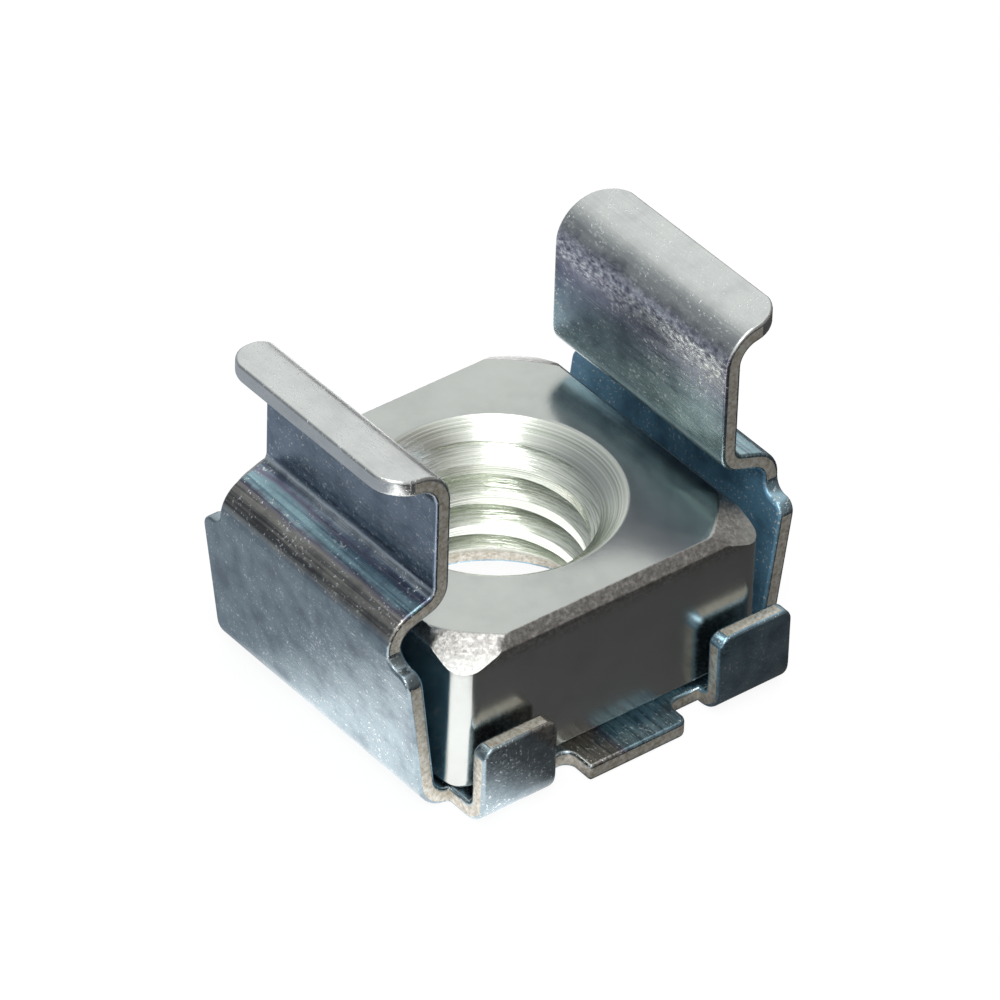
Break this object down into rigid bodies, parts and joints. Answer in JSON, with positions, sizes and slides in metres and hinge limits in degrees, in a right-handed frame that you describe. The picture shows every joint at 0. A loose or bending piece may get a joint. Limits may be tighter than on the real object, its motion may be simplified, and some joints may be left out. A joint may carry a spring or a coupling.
{
  "type": "rack cage nut",
  "caption": "Square threaded nut held loose in a folded spring-steel cage whose two sprung ears clip into a square hole of a rack rail.",
  "frame": {"origin": "middle of the underside of the cage's base, on the axis of its screw clearance hole", "axes": "+Z along the screw axis, from the base to the lips; X runs across the two sprung legs; Y runs along the edges with the tabs"},
  "size_m": [0.0128, 0.0116, 0.0103],
  "materials": {
    "nut_zinc_plate": "bright zinc plate, blue passivated",
    "cage_zinc_plate": "zinc-plated spring steel, blue passivated, with drawing marks"
  },
  "bodies": {
    "root": {"square_nut": "nut_zinc_plate", "cage": "cage_zinc_plate"}
  },
  "joints": []
}
